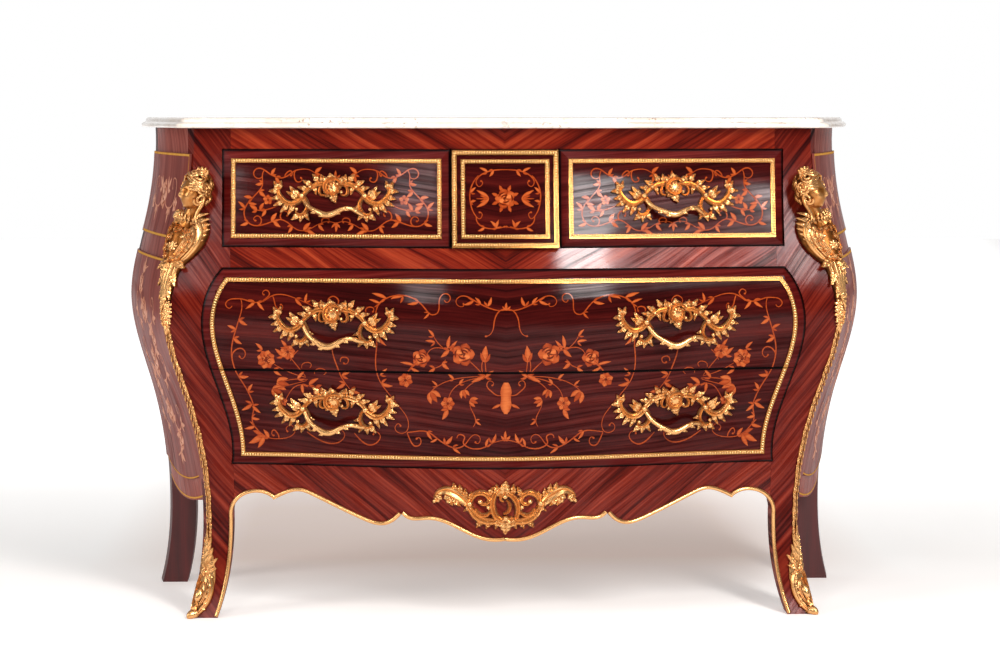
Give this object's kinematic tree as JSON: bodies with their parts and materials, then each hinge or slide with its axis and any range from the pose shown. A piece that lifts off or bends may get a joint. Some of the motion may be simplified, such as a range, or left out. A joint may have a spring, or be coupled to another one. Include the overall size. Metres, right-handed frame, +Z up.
{
  "type": "bombe chest",
  "caption": "Swelling bombe chest of drawers with a marble top, cabriole front legs, floral marquetry fronts that slide out, and gilt pulls, corner busts and toe mounts.",
  "frame": {"origin": "centre of the footprint on the floor", "axes": "+X along the front to the chest's right as seen from the front, +Y towards the back, +Z up; the front faces -Y"},
  "size_m": [1.381, 0.5559, 0.88],
  "materials": {
    "marble": "polished",
    "veneer": "gloss lacquer",
    "marquetry_veneer": "gloss lacquer",
    "leg_wood": "gloss lacquer",
    "drawer_wood": "waxed",
    "gilt": "burnished gilt"
  },
  "bodies": {
    "case": {"apron": "veneer", "apron_bead": "gilt", "apron_mount": "gilt", "back_panel": "drawer_wood", "bottom_board": "drawer_wood", "drawer_guides": "drawer_wood", "drawer_stops": "drawer_wood", "dust_board": "drawer_wood", "frieze_dividers": "drawer_wood", "frieze_rail": "veneer", "front_left_post": "veneer", "front_right_post": "veneer", "left_corner_mount": "gilt", "left_corner_strip": "gilt", "left_sabot": "gilt", "left_side": "veneer", "left_side_fields": "veneer", "marble_top": "marble", "mid_rail": "veneer", "rear_left_post": "leg_wood", "rear_right_post": "leg_wood", "right_corner_mount": "gilt", "right_corner_strip": "gilt", "right_sabot": "gilt", "right_side": "veneer", "right_side_fields": "veneer", "runners": "drawer_wood", "top_board": "drawer_wood"},
    "frieze_centre_drawer": {"frieze_centre_drawer_back": "drawer_wood", "frieze_centre_drawer_bead": "gilt", "frieze_centre_drawer_bottom": "drawer_wood", "frieze_centre_drawer_front": "marquetry_veneer", "frieze_centre_drawer_sides": "drawer_wood", "frieze_centre_frame": "gilt"},
    "frieze_left_drawer": {"frieze_left_drawer_back": "drawer_wood", "frieze_left_drawer_bead": "gilt", "frieze_left_drawer_bottom": "drawer_wood", "frieze_left_drawer_front": "marquetry_veneer", "frieze_left_drawer_sides": "drawer_wood", "frieze_left_pull": "gilt"},
    "frieze_right_drawer": {"frieze_right_drawer_back": "drawer_wood", "frieze_right_drawer_bead": "gilt", "frieze_right_drawer_bottom": "drawer_wood", "frieze_right_drawer_front": "marquetry_veneer", "frieze_right_drawer_sides": "drawer_wood", "frieze_right_pull": "gilt"},
    "lower_drawer": {"lower_drawer_back": "drawer_wood", "lower_drawer_bead": "gilt", "lower_drawer_bottom": "drawer_wood", "lower_drawer_front": "marquetry_veneer", "lower_drawer_sides": "drawer_wood", "lower_left_pull": "gilt", "lower_right_pull": "gilt"},
    "upper_drawer": {"upper_drawer_back": "drawer_wood", "upper_drawer_bead": "gilt", "upper_drawer_bottom": "drawer_wood", "upper_drawer_front": "marquetry_veneer", "upper_drawer_sides": "drawer_wood", "upper_left_pull": "gilt", "upper_right_pull": "gilt"}
  },
  "joints": [
    {"name": "frieze_left_drawer_slide", "type": "slide", "parent": "case", "child": "frieze_left_drawer", "axis": [0, -1, 0], "range_m": [0, 0.28]},
    {"name": "frieze_centre_drawer_slide", "type": "slide", "parent": "case", "child": "frieze_centre_drawer", "axis": [0, -1, 0], "range_m": [0, 0.28]},
    {"name": "frieze_right_drawer_slide", "type": "slide", "parent": "case", "child": "frieze_right_drawer", "axis": [0, -1, 0], "range_m": [0, 0.28]},
    {"name": "upper_drawer_slide", "type": "slide", "parent": "case", "child": "upper_drawer", "axis": [0, -1, 0], "range_m": [0, 0.3]},
    {"name": "lower_drawer_slide", "type": "slide", "parent": "case", "child": "lower_drawer", "axis": [0, -1, 0], "range_m": [0, 0.3]}
  ]
}
